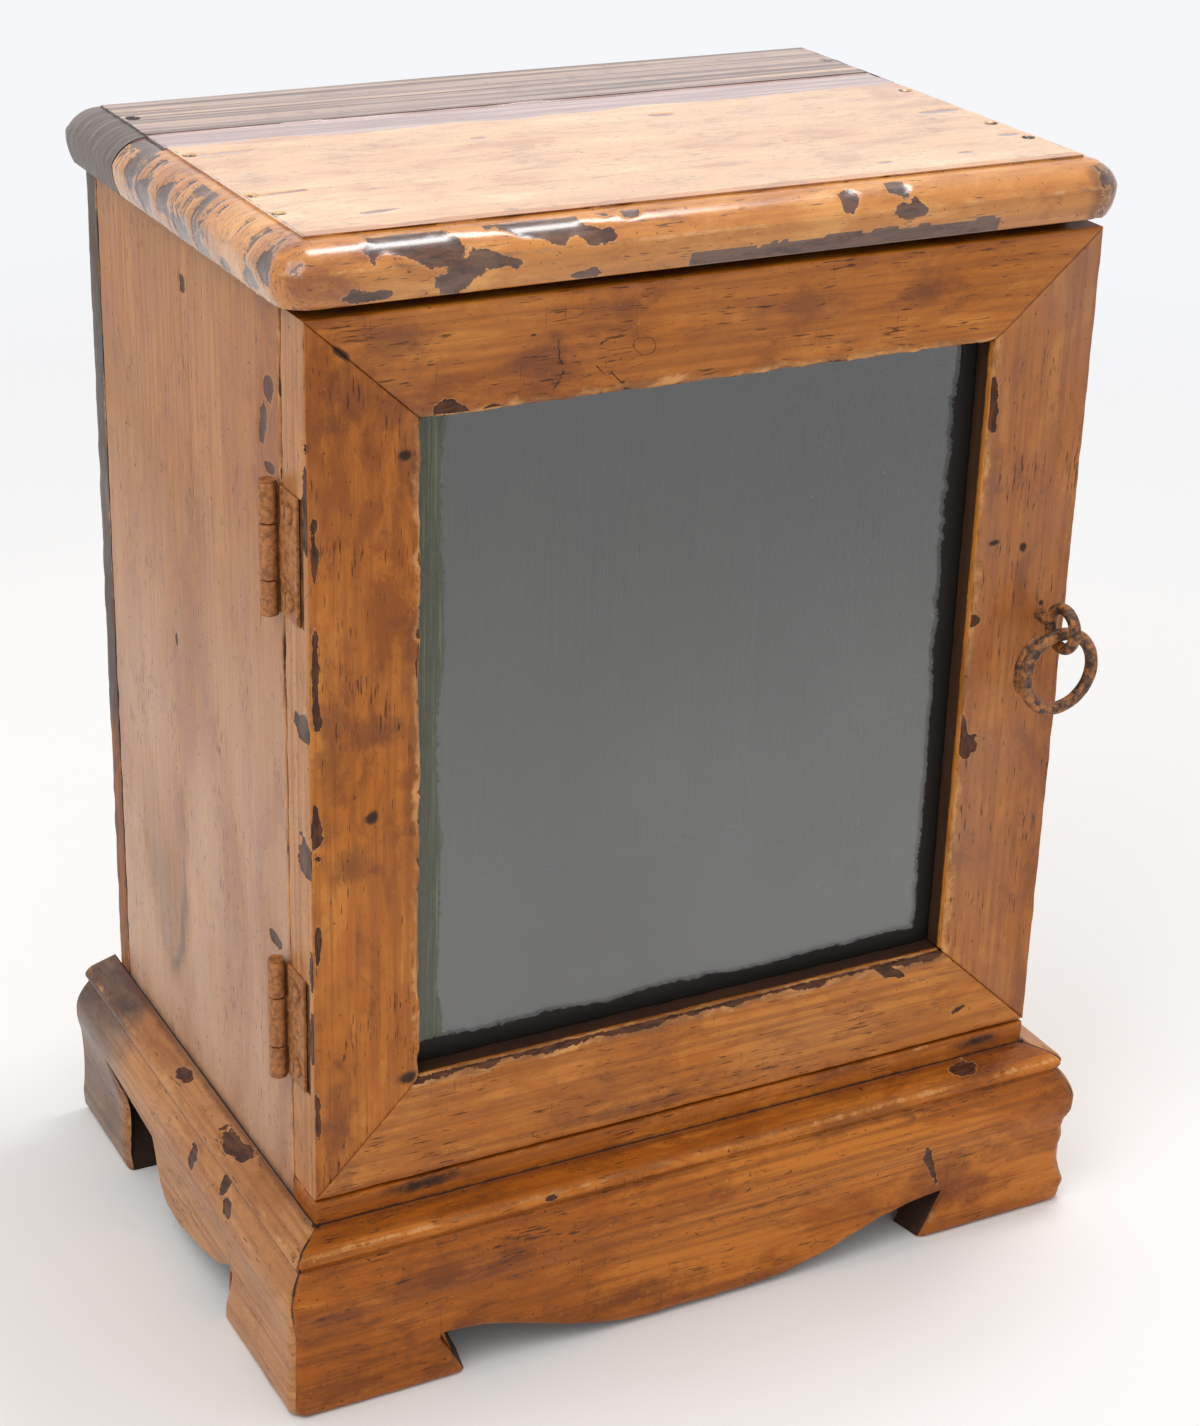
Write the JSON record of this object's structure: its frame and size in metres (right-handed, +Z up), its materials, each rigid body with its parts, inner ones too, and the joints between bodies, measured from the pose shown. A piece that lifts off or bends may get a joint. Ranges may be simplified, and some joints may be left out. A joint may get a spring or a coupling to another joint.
{
  "type": "wooden display box",
  "caption": "Small wooden display box with a glazed mitred door on butt hinges, a ring pull, a thumbnail-nosed top and a moulded plinth with cut feet.",
  "frame": {"origin": "on the ground, at the middle of the bounding box", "axes": "+X to the opening side of the door, +Y from the door to the back, +Z up"},
  "size_m": [0.3158, 0.2248, 0.3968],
  "materials": {
    "varnished_wood": "old worn varnish",
    "weathered_wood": "bare weathered grain",
    "dark_wood": "dull dark stain",
    "glass": "clear",
    "painted_iron": "worn paint over iron",
    "nail_iron": "dull dark iron"
  },
  "bodies": {
    "case": {"top_front_board": "varnished_wood", "top_rear_board": "weathered_wood", "side_panel_left": "varnished_wood", "side_panel_right": "varnished_wood", "back_panel": "dark_wood", "bottom_board": "dark_wood", "front_sill": "varnished_wood", "plinth_front": "varnished_wood", "plinth_left": "varnished_wood", "plinth_right": "varnished_wood", "top_nails": "nail_iron", "back_nails": "nail_iron", "plinth_nails": "nail_iron", "floor_nails": "nail_iron", "case_leaf_screws": "painted_iron", "lower_hinge_case_leaf": "painted_iron", "upper_hinge_case_leaf": "painted_iron", "lower_hinge_pin": "nail_iron", "upper_hinge_pin": "nail_iron"},
    "door": {"door_stile_left": "varnished_wood", "door_stile_right": "varnished_wood", "door_rail_top": "varnished_wood", "door_rail_bottom": "varnished_wood", "door_glass": "glass", "glazing_bead_top": "dark_wood", "glazing_bead_bottom": "dark_wood", "glazing_bead_left": "dark_wood", "glazing_bead_right": "dark_wood", "bead_pins": "nail_iron", "mitre_nails": "nail_iron", "door_leaf_screws": "painted_iron", "lower_hinge_door_leaf": "painted_iron", "upper_hinge_door_leaf": "painted_iron", "pull_eye": "painted_iron"},
    "ring": {"pull_ring": "painted_iron"}
  },
  "joints": [
    {"name": "door_swing", "type": "hinge", "parent": "case", "child": "door", "pos_m": [-0.14505, -0.06763, 0.216], "axis": [0, 0, -1], "range_deg": [0, 180]},
    {"name": "ring_swing", "type": "hinge", "parent": "door", "child": "ring", "pos_m": [0.13, -0.10312, 0.23675], "axis": [-1, 0, 0], "range_deg": [-20, 180]}
  ]
}
